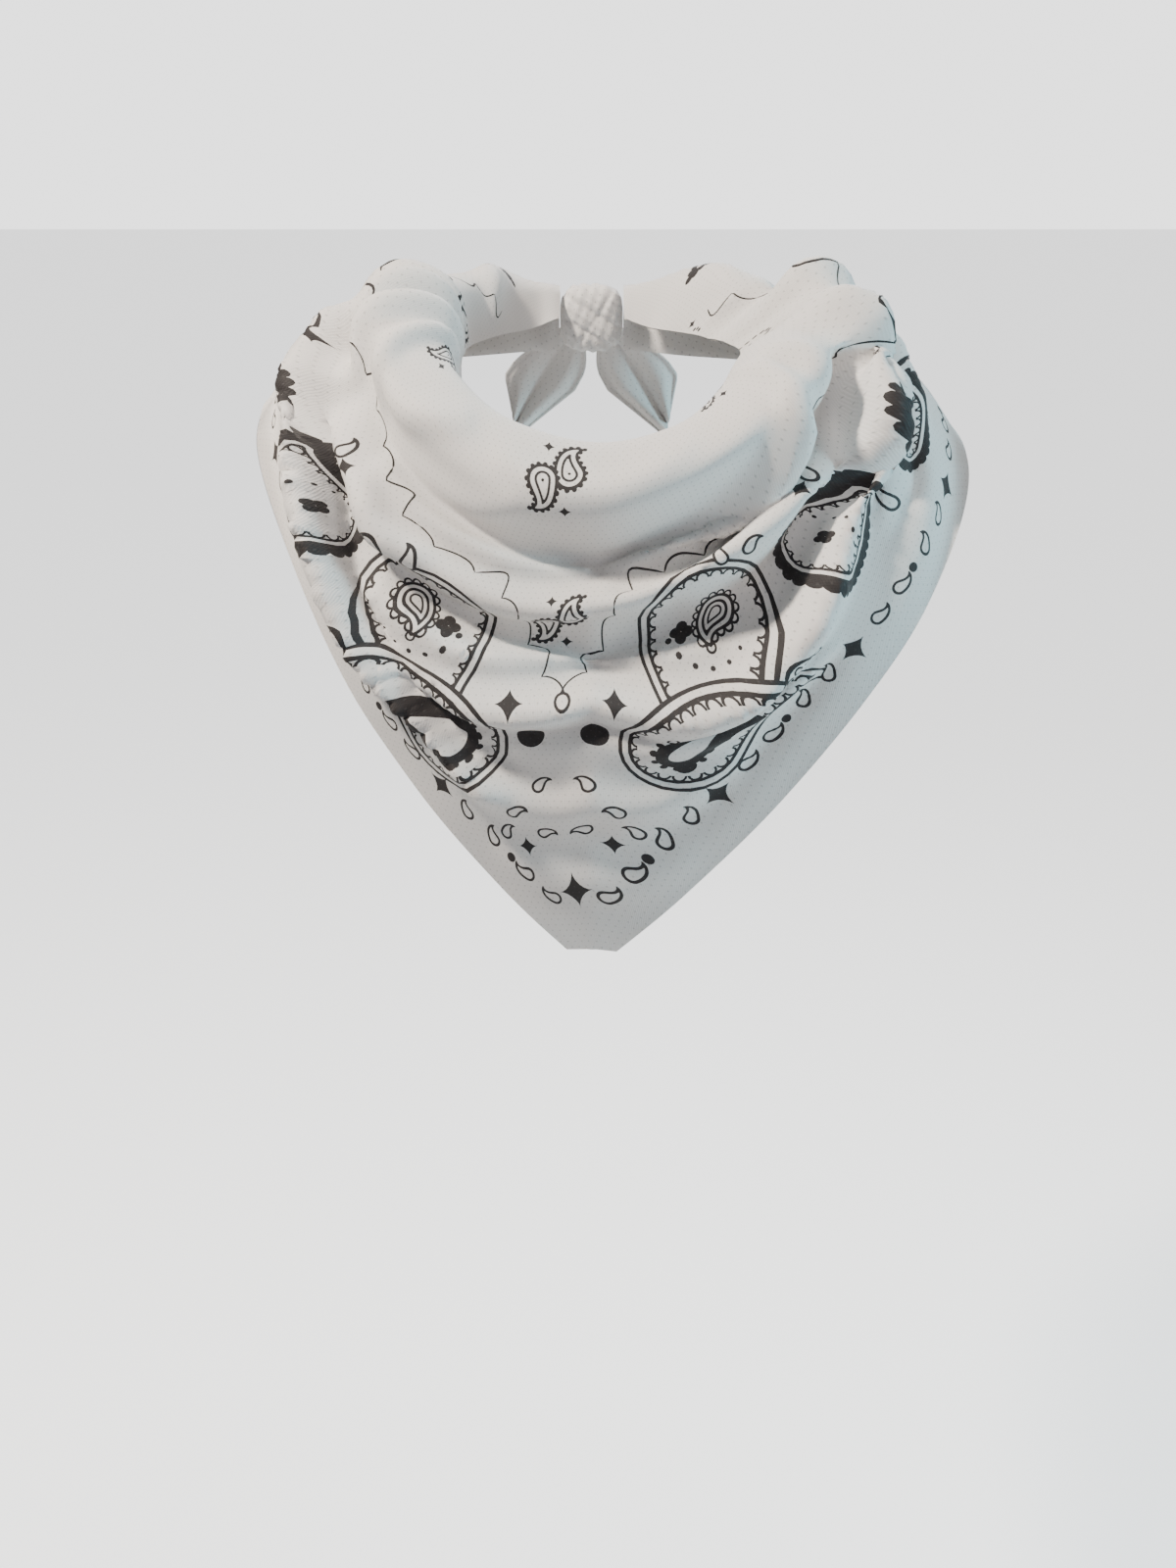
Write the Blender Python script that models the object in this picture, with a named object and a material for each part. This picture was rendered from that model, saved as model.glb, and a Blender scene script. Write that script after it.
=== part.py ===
"""A square bandana, folded to a triangle and worn round a neck, tied behind with a square knot.

The cloth is one square, halved on its diagonal, with the fold turned in again as a soft roll.
Every point of it has two flat measures: s, along the fold from the middle, and a place between
the neckline (0) and the hem (1). The ring tables say where the folds lie on a general figure,
and the solids are walls of one thickness through those rings.
Right-handed, metres, +Z up, the cloth's front towards -Y, origin on the axis of the neck.
"""

import bmesh
import bpy
import numpy as np
from mathutils import Matrix, Vector

MM = 0.001

# The cut, in millimetres.
SQUARE_SIDE = 600.0
HALF_FOLD = SQUARE_SIDE / 2.0 ** 0.5
TIP_BLUNT = 11.0
HEM_THICK = 2.6

# The wall.
WALL = 2.0
SEAM_STEP = 1.2
SEAM_S = 205.0

# Mesh density of the walls. SEAM_STEP is the flat step of s that leaves a 0.3 mm seam.
ROWS = 30
FRONT_COLUMNS = 46
WRAP_COLUMNS = 11

# Stations: the flat measure s of each column of the ring tables, from the middle to the knot.
STATIONS = (0, 40, 80, 120, 160, 220, 290, 359)
# How much of the cloth's depth is turned in at the neckline, at each station.
TURNED_IN = (120, 116, 109, 100, 86, 64, 44, 35)

# Each ring of one half: its place from neckline (0) to hem (1), then (x, y, z) at each station.
# A ring is a line that runs along a fold's edge or valley, from the middle to the knot.
LEFT_RINGS = (
    ("inside", -0.10, ((0, -80, -62), (-34, -73, -49), (-55, -54, -32), (-63, -24, -16),
                       (-64, 8, -10), (-52, 42, -6), (-32, 62, -4), (-17, 70, 0))),
    ("neckline", 0.0, ((0, -87, -36), (-37, -81, -27), (-61, -60, -11), (-70, -26, 5),
                       (-73, 8, 15), (-58, 46, 18), (-36, 70, 15), (-17, 80, 12))),
    ("roll crest", 0.14, ((0, -113, -59), (-44, -105, -50), (-77, -81, -23), (-96, -45, 5),
                          (-99, -3, 20), (-82, 48, 22), (-48, 80, 18), (-17, 90, 13))),
    ("first valley", 0.27, ((0, -93, -91), (-40, -91, -83), (-76, -80, -60), (-101, -58, -27),
                            (-115, -24, 0), (-98, 46, 8), (-56, 85, 10), (-17, 91, 8))),
    ("second crest", 0.35, ((0, -117, -102), (-47, -111, -98), (-91, -93, -71), (-118, -66, -35),
                            (-129, -24, -7), (-111, 46, 3), (-61, 88, 6), (-17, 92, 4))),
    ("second valley", 0.47, ((0, -102, -129), (-50, -100, -119), (-93, -90, -89), (-121, -70, -49),
                             (-135, -26, -13), (-120, 46, 0), (-65, 90, 3), (-17, 92, 0))),
    ("third crest", 0.54, ((0, -121, -143), (-54, -116, -133), (-98, -102, -103), (-127, -77, -63),
                           (-141, -30, -19), (-130, 45, -4), (-69, 91, 0), (-17, 92, -4))),
    ("lower panel", 0.77, ((0, -121, -203), (-48, -119, -182), (-90, -111, -146), (-120, -94, -105),
                           (-141, -58, -58), (-146, 20, -15), (-92, 82, -9), (-17, 92, -10))),
    ("hem", 1.0, ((0, -113, -284), (-43, -115, -238), (-83, -112, -187), (-113, -101, -141),
                  (-137, -81, -94), (-159, -28, -37), (-118, 56, -22), (-17, 91, -18))),
)
RIGHT_RINGS = (
    ("inside", -0.10, ((0, -80, -62), (34, -73, -49), (54, -52, -35), (65, -22, -18),
                       (74, 8, -10), (58, 44, -6), (32, 63, -4), (17, 70, 0))),
    ("neckline", 0.0, ((0, -87, -36), (38, -80, -30), (60, -60, -16), (75, -36, 1),
                       (104, -14, 15), (84, 40, 18), (42, 71, 16), (17, 80, 12))),
    ("roll crest", 0.14, ((0, -113, -59), (41, -108, -46), (76, -93, -25), (103, -65, -3),
                          (125, -24, 13), (100, 46, 19), (52, 82, 18), (17, 90, 13))),
    ("first valley", 0.27, ((0, -93, -91), (38, -91, -79), (74, -81, -60), (106, -60, -29),
                            (128, -30, -6), (112, 44, 5), (58, 87, 10), (17, 91, 8))),
    ("second crest", 0.35, ((0, -117, -102), (44, -113, -86), (81, -102, -66), (114, -81, -41),
                            (139, -42, -14), (123, 44, 0), (63, 90, 6), (17, 92, 4))),
    ("second valley", 0.47, ((0, -102, -129), (45, -100, -117), (84, -92, -92), (117, -76, -60),
                             (143, -45, -25), (131, 45, -4), (67, 92, 3), (17, 92, 0))),
    ("third crest", 0.54, ((0, -121, -143), (46, -118, -136), (88, -106, -113), (122, -85, -78),
                           (150, -50, -38), (139, 45, -8), (71, 93, 0), (17, 92, -4))),
    ("lower panel", 0.77, ((0, -121, -203), (50, -120, -182), (93, -112, -149), (128, -98, -112),
                           (156, -70, -69), (162, 12, -25), (97, 84, -10), (17, 92, -10))),
    ("hem", 1.0, ((0, -113, -284), (43, -115, -243), (85, -113, -199), (122, -105, -154),
                  (153, -87, -112), (178, -36, -51), (128, 58, -26), (17, 91, -18))),
)

# The largest creases: start, middle and end as (s, depth below the neckline), then how far each
# stands out (+) or sinks (-), how wide it is, and how far its cloth leans across itself.
CREASES = (
    # name, start, middle, end, height, width, lean
    ("left pleat", (-172, 42), (-118, 108), (-40, 208), -7.0, 9.0, 5.0),
    ("left pleat lip", (-166, 34), (-108, 98), (-34, 196), 4.0, 9.0, 0.0),
    ("right long fold", (150, 10), (140, 60), (86, 128), -9.0, 10.0, -6.0),
    ("right long lip", (140, 12), (126, 62), (74, 122), 6.0, 10.0, 0.0),
    ("right pinch", (26, 172), (62, 150), (98, 122), -5.0, 8.0, 3.0),
    ("lower panel fold", (-60, 196), (-4, 222), (50, 206), -3.5, 11.0, 0.0),
    ("left gather one", (-128, -8), (-134, 22), (-142, 60), -5.0, 7.0, 0.0),
    ("left gather two", (-158, -8), (-162, 20), (-170, 52), -5.0, 8.0, 0.0),
    ("right shoulder fold", (196, 8), (190, 44), (176, 88), -5.0, 10.0, 0.0),
)

# The knot, and the two tails that hang from it: half sizes and places.
KNOT_CENTRE = (0.0, 86.0, -1.0)
KNOT_HALF = (16.7, 14.0, 20.0)
KNOT_WAIST = 0.16
TAIL_LENGTH = 56.0
TAIL_WIDE = 19.0
TAIL_ROOT = 6.0
TAIL_OUT = 0.62
TAIL_TOP = (7.0, 98.95, -4.0)

CLOTH_COLOUR = (0.86, 0.83, 0.80, 1.0)
SHADE_COLOUR = (0.80, 0.79, 0.80, 1.0)


def cloth_material(name, colour):
    """Matt white jersey."""
    material = bpy.data.materials.new(name)
    material.use_nodes = True
    shader = material.node_tree.nodes["Principled BSDF"]
    shader.inputs["Base Color"].default_value = colour
    shader.inputs["Roughness"].default_value = 0.75
    shader.inputs["Metallic"].default_value = 0.0
    return material


def slopes(knots, values, first=None):
    """Slopes of a smooth curve through values at uneven knots; first overrides the first slope."""
    step = np.diff(knots)
    rate = np.diff(values, axis=0) / step[:, None]
    out = np.empty_like(values)
    out[0] = rate[0] if first is None else first
    out[-1] = rate[-1]
    before, after = step[:-1, None], step[1:, None]
    out[1:-1] = (rate[:-1] * after + rate[1:] * before) / (before + after)
    return out


def smooth_curve(knots, values, slope, at):
    """Cubic curve through values with the given slopes, read at the places in at."""
    index = np.clip(np.searchsorted(knots, at, side="right") - 1, 0, len(knots) - 2)
    step = (knots[index + 1] - knots[index])[:, None]
    u = ((at - knots[index]) / step[:, 0])[:, None]
    u2, u3 = u * u, u * u * u
    return (values[index] * (2 * u3 - 3 * u2 + 1) + slope[index] * step * (u3 - 2 * u2 + u)
            + values[index + 1] * (3 * u2 - 2 * u3) + slope[index + 1] * step * (u3 - u2))


def ease(x):
    """Smooth step from 0 to 1."""
    x = np.clip(x, 0.0, 1.0)
    return x * x * (3.0 - 2.0 * x)


def ring_points(s_values):
    """The rings' places and their points at each s: an array of rings by s by 3."""
    knots = np.array(STATIONS, float)
    places = np.array([row[1] for row in LEFT_RINGS])
    points = np.empty((len(places), len(s_values), 3))
    for number, (left, right) in enumerate(zip(LEFT_RINGS, RIGHT_RINGS)):
        a = np.array(left[2], float)
        b = np.array(right[2], float)
        half_step = knots[1]
        left_rate, right_rate = (a[1] - a[0]) / half_step, (b[1] - b[0]) / half_step
        across = (right_rate - left_rate) / 2.0
        corner = ease((places[number] - 0.55) / 0.4)
        left_slope = slopes(knots, a, corner * left_rate - (1.0 - corner) * across)
        right_slope = slopes(knots, b, corner * right_rate + (1.0 - corner) * across)
        at = np.abs(s_values)
        on_left = smooth_curve(knots, a, left_slope, at)
        on_right = smooth_curve(knots, b, right_slope, at)
        points[number] = np.where((s_values < 0.0)[:, None], on_left, on_right)
    return places, points


def flat_depth(s_values):
    """Depth of the outer cloth from neckline to sharp hem at each s, and the blunt hem's place."""
    at = np.abs(s_values)
    knots = np.array(STATIONS, float)
    turned = np.interp(at, knots, np.array(TURNED_IN, float))
    depth = HALF_FOLD - at - turned
    blunt = np.maximum(0.0, TIP_BLUNT - at)
    return depth, 1.0 - blunt / depth


def crease_shift(s, depth, outward, down, across):
    """How far the creases move each point; all arguments are grids."""
    shift = np.zeros_like(outward)
    for _, start, middle, end, height, width, lean in CREASES:
        steps = np.linspace(0.0, 1.0, 33)
        p0, p1, p2 = (np.array(p, float) for p in (start, middle, end))
        bend = 2.0 * p1 - 0.5 * (p0 + p2)
        path = ((1 - steps) ** 2)[:, None] * p0 + (2 * steps * (1 - steps))[:, None] * bend
        path += (steps ** 2)[:, None] * p2
        ds = s[..., None] - path[:, 0]
        dt = depth[..., None] - path[:, 1]
        far = np.hypot(ds, dt)
        nearest = np.argmin(far, axis=-1)
        distance = np.take_along_axis(far, nearest[..., None], -1)[..., 0]
        along = steps[nearest]
        taper = np.sin(np.pi * np.clip(0.12 + 0.76 * along, 0, 1)) ** 0.7
        weight = np.exp(-(distance / width) ** 2) * taper
        shift += outward * (height * weight)[..., None]
        run = (p2 - p0) / np.hypot(*(p2 - p0))
        shift += (across * (-run[1]) + down * run[0]) * (lean * weight)[..., None]
    return shift


def unit(vectors):
    return vectors / np.maximum(np.linalg.norm(vectors, axis=-1, keepdims=True), 1e-9)


def frame_of(points):
    """Outward normals and the two surface directions of a grid of rows by columns."""
    down = np.gradient(points, axis=0)
    across = np.gradient(points, axis=1)
    return unit(np.cross(across, down)), unit(down), unit(across)


def surface(s_values, rows):
    """The cloth's outer face, in millimetres: rows by columns by 3."""
    places, rings = ring_points(s_values)
    depth, blunt = flat_depth(s_values)
    grid = np.empty((rows, len(s_values), 3))
    spread = np.linspace(0.0, 1.0, rows)
    places_at = places[0] + (blunt[None, :] - places[0]) * spread[:, None]
    for column in range(len(s_values)):
        values = rings[:, column]
        grid[:, column] = smooth_curve(places, values, slopes(places, values), places_at[:, column])
    outward, down, across = frame_of(grid)
    s_grid = np.broadcast_to(s_values, places_at.shape)
    return grid + crease_shift(s_grid, places_at * depth, outward, down, across)


def wall_mesh(name, points, outward, thick):
    """A closed wall: the grid is its outer face and the inner face lies thick behind it."""
    inner = points - outward * thick[..., None]
    rows, columns = points.shape[:2]
    verts = np.concatenate([points.reshape(-1, 3), inner.reshape(-1, 3)]) * MM
    back = rows * columns

    def at(row, column):
        return row * columns + column

    faces = []
    for row in range(rows - 1):
        for column in range(columns - 1):
            a, b = at(row, column), at(row, column + 1)
            c, d = at(row + 1, column + 1), at(row + 1, column)
            faces.append((a, d, c, b))
            faces.append((back + a, back + b, back + c, back + d))
    for column in range(columns - 1):
        for row, flip in ((0, False), (rows - 1, True)):
            a, b = at(row, column), at(row, column + 1)
            edge = (a, b, back + b, back + a)
            faces.append(edge[::-1] if flip else edge)
    for row in range(rows - 1):
        for column, flip in ((0, True), (columns - 1, False)):
            a, b = at(row, column), at(row + 1, column)
            edge = (a, b, back + b, back + a)
            faces.append(edge[::-1] if flip else edge)
    mesh = bpy.data.meshes.new(name)
    mesh.from_pydata([tuple(v) for v in verts], [], faces)
    return mesh


def finish_mesh(mesh, name, material):
    """Points the faces out, shades them smooth and puts the mesh in the scene."""
    work = bmesh.new()
    work.from_mesh(mesh)
    bmesh.ops.triangulate(work, faces=work.faces)
    bmesh.ops.recalc_face_normals(work, faces=work.faces)
    work.to_mesh(mesh)
    work.free()
    mesh.shade_smooth()
    mesh.materials.append(material)
    piece = bpy.data.objects.new(name, mesh)
    bpy.context.scene.collection.objects.link(piece)
    return piece


def cloth_wall(name, points, outward, material):
    """One stretch of the worn cloth, thicker in its last rows, where the hem is rolled."""
    thick = np.full(points.shape[:2], WALL)
    thick[-2:] = HEM_THICK
    return finish_mesh(wall_mesh(name, points, outward, thick), name, material)


def knot(material):
    """The square knot behind the neck: a rounded block with a pulled-in waist."""
    work = bmesh.new()
    bmesh.ops.create_cube(work, size=2.0)
    bmesh.ops.subdivide_edges(work, edges=work.edges, cuts=6, use_grid_fill=True)
    for vert in work.verts:
        x, y, z = vert.co
        rounding = (abs(x) ** 4 + abs(y) ** 4 + abs(z) ** 4) ** 0.25
        x, y, z = x / rounding, y / rounding, z / rounding
        waist = 1.0 - KNOT_WAIST * (1.0 - x * x) ** 2
        side = 1.0 - 0.25 * KNOT_WAIST * z * z
        vert.co = (x * side, y * waist, z * waist)
    bmesh.ops.scale(work, vec=Vector(KNOT_HALF) * MM, verts=work.verts)
    bmesh.ops.translate(work, vec=Vector(KNOT_CENTRE) * MM, verts=work.verts)
    mesh = bpy.data.meshes.new("knot")
    work.to_mesh(mesh)
    work.free()
    return finish_mesh(mesh, "knot", material)


def tail(name, side, material):
    """A corner of the square below the knot: narrow where it is gathered, then a pointed flare."""
    along = np.linspace(0.0, 1.0, 13)
    across = np.linspace(-1.0, 1.0, 9)
    flare = TAIL_ROOT + (TAIL_WIDE - TAIL_ROOT) * ease(along / 0.5)
    corner = np.minimum(1.0, (1.0 - along) / 0.42 + 0.06)
    half = flare * corner
    u, v = np.meshgrid(along, across, indexing="ij")
    half = half[:, None] * v
    x = side * (TAIL_TOP[0] + TAIL_OUT * TAIL_LENGTH * u) + half
    y = TAIL_TOP[1] + 5.0 * np.sin(np.pi * u * 0.8) + 2.6 * np.cos(2.2 * np.pi * v) * ease(u * 2.0)
    z = TAIL_TOP[2] - TAIL_LENGTH * u * (1.0 - 0.12 * v * side)
    points = np.stack([-x, y, z], axis=-1)
    thick = np.full(points.shape[:2], WALL)
    outward = frame_of(points)[0]
    return finish_mesh(wall_mesh(name, points, outward, thick), name, material)


def main():
    for old in list(bpy.data.objects):
        bpy.data.objects.remove(old, do_unlink=True)
    cloth = cloth_material("white_jersey", CLOTH_COLOUR)
    shaded = cloth_material("white_jersey_back", SHADE_COLOUR)
    front_s = np.linspace(-SEAM_S, SEAM_S, FRONT_COLUMNS + 1)
    wrap_s = np.linspace(SEAM_S + SEAM_STEP, STATIONS[-1], WRAP_COLUMNS + 1)
    whole = surface(np.concatenate([-wrap_s[::-1], front_s, wrap_s]), ROWS)
    outward = frame_of(whole)[0]
    first, last = len(wrap_s), len(wrap_s) + len(front_s)
    for name, part, material in (
        ("left_wrap", slice(0, first), shaded),
        ("front_drape", slice(first, last), cloth),
        ("right_wrap", slice(last, None), shaded),
    ):
        cloth_wall(name, whole[:, part], outward[:, part], material)
    knot(cloth)
    tail("left_tail", -1.0, shaded)
    tail("right_tail", 1.0, shaded)


main()
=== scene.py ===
"""The looks of a worn paisley bandana: printed jersey, its knot and tails, and a plain studio."""

import math

import bmesh
import bpy
import numpy as np
from bpy.props import FloatProperty, FloatVectorProperty, IntProperty, PointerProperty
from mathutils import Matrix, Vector
from mathutils.geometry import delaunay_2d_cdt


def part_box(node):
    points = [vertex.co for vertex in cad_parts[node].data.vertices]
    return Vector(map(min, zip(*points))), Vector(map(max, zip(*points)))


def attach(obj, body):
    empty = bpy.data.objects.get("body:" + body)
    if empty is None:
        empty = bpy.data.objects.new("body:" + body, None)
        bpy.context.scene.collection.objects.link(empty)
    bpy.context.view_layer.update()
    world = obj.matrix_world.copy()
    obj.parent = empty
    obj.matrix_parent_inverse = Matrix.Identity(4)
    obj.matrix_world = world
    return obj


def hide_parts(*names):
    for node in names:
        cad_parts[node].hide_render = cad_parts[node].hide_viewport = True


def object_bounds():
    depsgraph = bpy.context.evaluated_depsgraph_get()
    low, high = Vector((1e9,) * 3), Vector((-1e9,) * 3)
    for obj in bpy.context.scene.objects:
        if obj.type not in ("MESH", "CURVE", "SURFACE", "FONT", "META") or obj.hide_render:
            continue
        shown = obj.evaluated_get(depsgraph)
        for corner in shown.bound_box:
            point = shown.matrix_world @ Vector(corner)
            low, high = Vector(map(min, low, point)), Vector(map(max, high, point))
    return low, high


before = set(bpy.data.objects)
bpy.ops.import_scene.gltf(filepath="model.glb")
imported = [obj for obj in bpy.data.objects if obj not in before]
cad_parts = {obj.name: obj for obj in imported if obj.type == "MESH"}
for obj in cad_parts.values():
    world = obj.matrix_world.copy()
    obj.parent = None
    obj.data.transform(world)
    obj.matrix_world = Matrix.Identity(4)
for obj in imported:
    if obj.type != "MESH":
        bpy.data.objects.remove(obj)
CAD_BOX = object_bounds()

bl_info = {
    "name": "Worn Bandana",
    "version": (1, 0, 0),
    "blender": (4, 5, 0),
    "location": "View3D > Sidebar > Bandana",
    "description": "Builds a printed jersey bandana as it hangs round a neck",
    "category": "Object",
}

MM = 0.001

# The cut, in millimetres, as in the part.
SQUARE_SIDE = 600.0
HALF_FOLD = SQUARE_SIDE / 2.0 ** 0.5
TIP_BLUNT = 11.0
KNOT_S = 359.0
FAN = 0.30
FAN_REACH = 190.0
SIDE_HANG = 13.0
FOLD_DEPTH = 2.15
HEM_PULL = 1.6
HEM_PULL_REACH = 160.0
TAIL_LENGTH = 56.0
TAIL_WIDE = 19.0
TAIL_ROOT = 6.0
TAIL_OUT = 0.62
TAIL_TOP = (7.0, 98.95, -4.0)
CAMERA_PLACE = (-0.0018, -0.9121, 0.1163)
CAMERA_PITCH = 20.84
ROOT2 = 2.0 ** 0.5

STATIONS = (0, 40, 80, 120, 160, 220, 290, 359)
TURNED_IN = (120, 116, 109, 100, 86, 64, 44, 35)

# Each ring of one half: its place from neckline (0) to hem (1), then (x, y, z) at each station.
# A ring is a line that runs along a fold's edge or valley, from the middle to the knot.
LEFT_RINGS = (
    ("inside", -0.10, ((0, -80, -62), (-34, -73, -49), (-55, -54, -32), (-63, -24, -16),
                       (-64, 8, -10), (-52, 42, -6), (-32, 62, -4), (-17, 70, 0))),
    ("neckline", 0.0, ((0, -87, -36), (-37, -81, -27), (-61, -60, -11), (-70, -26, 5),
                       (-73, 8, 15), (-58, 46, 18), (-36, 70, 15), (-17, 80, 12))),
    ("roll crest", 0.14, ((0, -113, -59), (-44, -105, -50), (-77, -81, -23), (-96, -45, 5),
                          (-99, -3, 20), (-82, 48, 22), (-48, 80, 18), (-17, 90, 13))),
    ("first valley", 0.27, ((0, -93, -91), (-40, -91, -83), (-76, -80, -60), (-101, -58, -27),
                            (-115, -24, 0), (-98, 46, 8), (-56, 85, 10), (-17, 91, 8))),
    ("second crest", 0.35, ((0, -117, -102), (-47, -111, -98), (-91, -93, -71), (-118, -66, -35),
                            (-129, -24, -7), (-111, 46, 3), (-61, 88, 6), (-17, 92, 4))),
    ("second valley", 0.47, ((0, -102, -129), (-50, -100, -119), (-93, -90, -89), (-121, -70, -49),
                             (-135, -26, -13), (-120, 46, 0), (-65, 90, 3), (-17, 92, 0))),
    ("third crest", 0.54, ((0, -121, -143), (-54, -116, -133), (-98, -102, -103), (-127, -77, -63),
                           (-141, -30, -19), (-130, 45, -4), (-69, 91, 0), (-17, 92, -4))),
    ("lower panel", 0.77, ((0, -121, -203), (-48, -119, -182), (-90, -111, -146), (-120, -94, -105),
                           (-141, -58, -58), (-146, 20, -15), (-92, 82, -9), (-17, 92, -10))),
    ("hem", 1.0, ((0, -113, -284), (-43, -115, -238), (-83, -112, -187), (-113, -101, -141),
                  (-137, -81, -94), (-159, -28, -37), (-118, 56, -22), (-17, 91, -18))),
)
RIGHT_RINGS = (
    ("inside", -0.10, ((0, -80, -62), (34, -73, -49), (54, -52, -35), (65, -22, -18),
                       (74, 8, -10), (58, 44, -6), (32, 63, -4), (17, 70, 0))),
    ("neckline", 0.0, ((0, -87, -36), (38, -80, -30), (60, -60, -16), (75, -36, 1),
                       (104, -14, 15), (84, 40, 18), (42, 71, 16), (17, 80, 12))),
    ("roll crest", 0.14, ((0, -113, -59), (41, -108, -46), (76, -93, -25), (103, -65, -3),
                          (125, -24, 13), (100, 46, 19), (52, 82, 18), (17, 90, 13))),
    ("first valley", 0.27, ((0, -93, -91), (38, -91, -79), (74, -81, -60), (106, -60, -29),
                            (128, -30, -6), (112, 44, 5), (58, 87, 10), (17, 91, 8))),
    ("second crest", 0.35, ((0, -117, -102), (44, -113, -86), (81, -102, -66), (114, -81, -41),
                            (139, -42, -14), (123, 44, 0), (63, 90, 6), (17, 92, 4))),
    ("second valley", 0.47, ((0, -102, -129), (45, -100, -117), (84, -92, -92), (117, -76, -60),
                             (143, -45, -25), (131, 45, -4), (67, 92, 3), (17, 92, 0))),
    ("third crest", 0.54, ((0, -121, -143), (46, -118, -136), (88, -106, -113), (122, -85, -78),
                           (150, -50, -38), (139, 45, -8), (71, 93, 0), (17, 92, -4))),
    ("lower panel", 0.77, ((0, -121, -203), (50, -120, -182), (93, -112, -149), (128, -98, -112),
                           (156, -70, -69), (162, 12, -25), (97, 84, -10), (17, 92, -10))),
    ("hem", 1.0, ((0, -113, -284), (43, -115, -243), (85, -113, -199), (122, -105, -154),
                  (153, -87, -112), (178, -36, -51), (128, 58, -26), (17, 91, -18))),
)

# Every crease: start, middle and end as (s, depth below the neckline), then how far it stands
# out (+) or sinks (-), its width, and how far its cloth leans across itself.
CREASES = (
    # name, start, middle, end, height, width, lean
    ("left pleat", (-172, 42), (-118, 108), (-40, 208), -7.0, 9.0, 5.0),
    ("left pleat lip", (-166, 34), (-108, 98), (-34, 196), 4.0, 9.0, 0.0),
    ("right long fold", (150, 10), (140, 60), (86, 128), -9.0, 10.0, -6.0),
    ("right long lip", (140, 12), (126, 62), (74, 122), 6.0, 10.0, 0.0),
    ("right pinch", (26, 172), (62, 150), (98, 122), -5.0, 8.0, 3.0),
    ("lower panel fold", (-60, 196), (-4, 222), (50, 206), -3.5, 11.0, 0.0),
    ("left gather one", (-128, -8), (-134, 22), (-142, 60), -5.0, 7.0, 0.0),
    ("left gather two", (-158, -8), (-162, 20), (-170, 52), -5.0, 8.0, 0.0),
    ("right shoulder fold", (196, 8), (190, 44), (176, 88), -5.0, 10.0, 0.0),
    # soft troughs and ridges that only the cloth shows
    ("left pleat shadow", (-150, 76), (-104, 126), (-52, 190), -2.6, 4.0, 2.0),
    ("swag one tuck left", (-96, 64), (-50, 74), (-4, 84), -4.2, 5.5, 2.4),
    ("swag one tuck right", (10, 82), (48, 68), (92, 40), -5.2, 5.5, 2.8),
    ("swag one lip right", (14, 94), (54, 80), (96, 52), 3.0, 6.0, 0.0),
    ("swag pocket", (58, 66), (78, 54), (100, 34), -5.0, 7.0, 0.0),
    ("roll soft loop", (106, 12), (118, 22), (112, 40), -2.6, 6.0, 0.0),
    ("roll flap crease", (92, 8), (98, 24), (84, 44), -2.2, 5.0, 0.0),
    ("roll left fold", (-60, 20), (-86, 36), (-104, 34), -2.4, 6.5, 0.0),
    ("roll left fold low", (-30, 44), (-60, 54), (-98, 52), -1.8, 6.0, 0.0),
    ("roll drag middle", (-34, 26), (2, 34), (40, 24), -1.2, 7.0, 0.0),
    ("dimple left", (-96, 78), (-84, 88), (-70, 90), -4.0, 7.0, 0.0),
    ("second swag tuck", (-78, 122), (-20, 140), (44, 132), -3.4, 6.0, 2.0),
    ("second swag ridge", (-90, 104), (-30, 118), (30, 116), 2.0, 8.0, 0.0),
    ("third swag tuck", (-70, 150), (-10, 166), (60, 150), -3.2, 6.5, 2.2),
    ("third swag lip", (-64, 164), (-6, 178), (62, 162), 1.8, 7.0, 0.0),
    ("paisley drag right", (24, 186), (60, 172), (94, 156), -2.2, 6.0, 0.0),
    ("panel drag left", (-90, 150), (-60, 186), (-16, 214), 1.8, 9.0, 0.0),
    ("panel soft right", (30, 230), (58, 206), (92, 170), 2.4, 11.0, 0.0),
    ("panel low bow", (-30, 252), (4, 262), (34, 250), -1.4, 9.0, 0.0),
    ("shoulder fold right a", (168, 16), (160, 60), (132, 108), -4.2, 7.0, 2.0),
    ("shoulder fold right b", (178, 30), (170, 70), (150, 112), 3.0, 7.0, 0.0),
    ("shoulder fold left a", (-188, 20), (-178, 60), (-156, 102), -2.8, 8.0, 0.0),
    ("gather left three", (-112, -6), (-112, 16), (-110, 44), -3.2, 5.0, 0.0),
    ("gather left four", (-144, -8), (-148, 16), (-154, 48), 3.0, 5.0, 0.0),
    ("gather left five", (-176, -8), (-184, 18), (-194, 46), -3.2, 6.0, 0.0),
    ("gather right one", (190, -8), (198, 18), (206, 44), -3.6, 7.0, 0.0),
    ("gather right two", (214, -8), (224, 16), (232, 44), 3.0, 7.0, 0.0),
    ("back gather left a", (-232, -4), (-282, 12), (-345, 14), -3.0, 6.0, 0.0),
    ("back gather left b", (-236, 34), (-286, 30), (-345, 24), -3.0, 7.0, 0.0),
    ("back gather left c", (-240, 70), (-290, 50), (-345, 30), 2.4, 7.0, 0.0),
    ("back gather right a", (232, -4), (282, 12), (345, 14), -3.0, 6.0, 0.0),
    ("back gather right b", (238, 36), (286, 30), (345, 24), -3.0, 7.0, 0.0),
    ("back gather right c", (240, 72), (290, 50), (345, 30), 2.4, 7.0, 0.0),
)


# ---------------------------------------------------------------- the form of the cloth

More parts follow.
